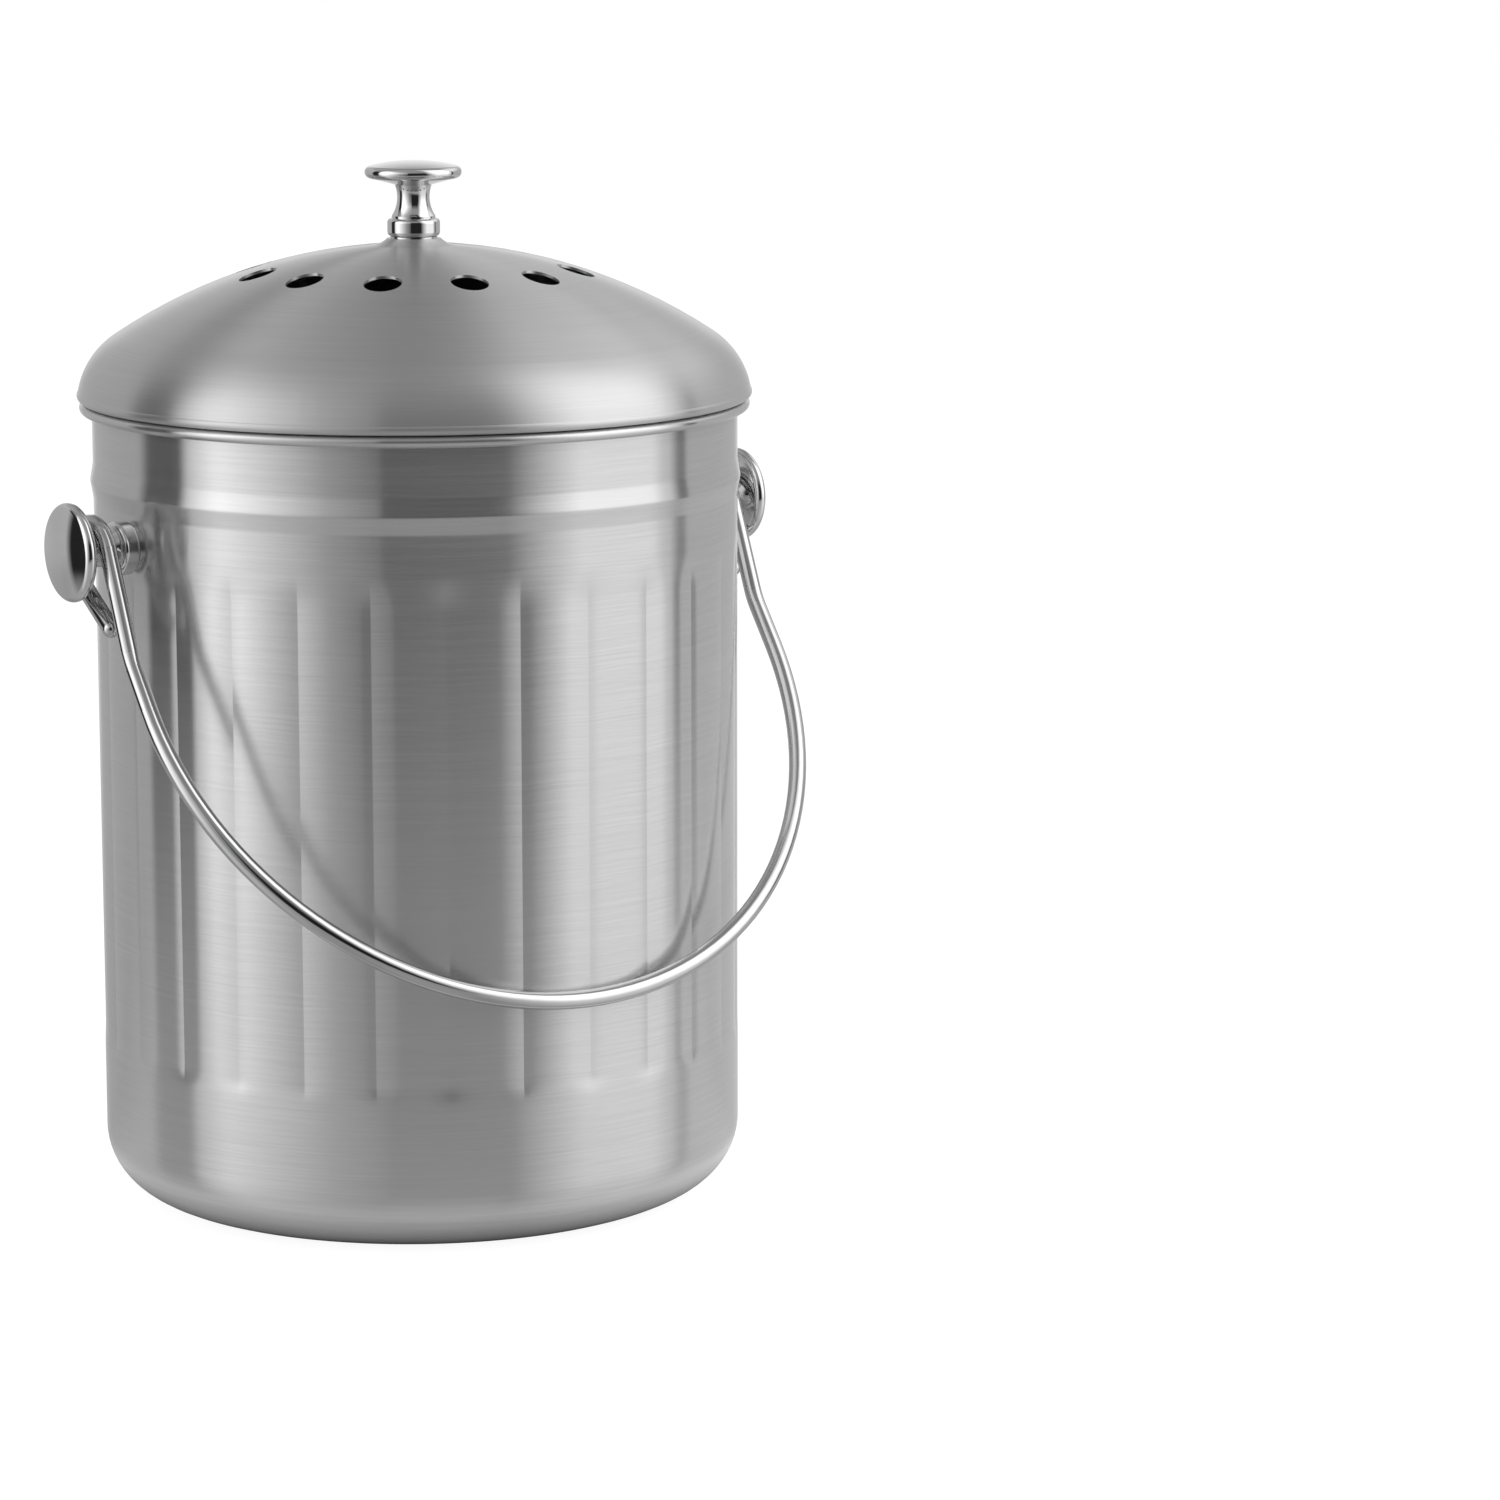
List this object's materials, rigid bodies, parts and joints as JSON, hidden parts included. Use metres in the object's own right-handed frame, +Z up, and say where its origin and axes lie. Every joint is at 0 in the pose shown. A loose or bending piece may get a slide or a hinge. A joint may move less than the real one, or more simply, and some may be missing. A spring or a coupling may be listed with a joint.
{
  "type": "compost caddy",
  "caption": "Round fluted steel countertop bucket with a vented, filtered lift-off lid, turned knobs and a swinging wire bail.",
  "frame": {"origin": "centre of the flat base, on the surface that the caddy stands on", "axes": "+Z up along the bucket's axis; +X along the bail's pivot axis towards the right knob; the bail hangs on the -Y side, which is the front"},
  "size_m": [0.218, 0.185, 0.2837],
  "materials": {
    "bucket_steel": "brushed stainless steel, grain running round the wall",
    "lid_steel": "brushed stainless steel, grain running round the dome",
    "bail_steel": "polished stainless steel wire",
    "knob_chrome": "turned and polished",
    "hardware_zinc": "zinc plated steel",
    "holder_plastic": "moulded black plastic",
    "filter_charcoal": "charcoal-filled felt"
  },
  "bodies": {
    "bucket": {"bucket_shell": "bucket_steel", "left_pivot_knob": "knob_chrome", "right_pivot_knob": "knob_chrome", "left_pivot_washer": "hardware_zinc", "right_pivot_washer": "hardware_zinc", "left_pivot_screw": "hardware_zinc", "right_pivot_screw": "hardware_zinc"},
    "bail": {"bail_handle": "bail_steel"},
    "lid": {"lid_dome": "lid_steel", "lid_skirt": "lid_steel", "lid_knob": "knob_chrome", "lid_knob_washer": "hardware_zinc", "lid_knob_screw": "hardware_zinc", "filter_holder": "holder_plastic", "charcoal_filter": "filter_charcoal"}
  },
  "joints": [
    {"name": "bail_swing", "type": "hinge", "parent": "bucket", "child": "bail", "pos_m": [0, 0, 0.1848], "axis": [-1, 0, 0], "range_deg": [0, 284.2]},
    {"name": "lid_lift", "type": "slide", "parent": "bucket", "child": "lid", "axis": [0, 0, 1], "range_m": [0, 0.03]}
  ]
}
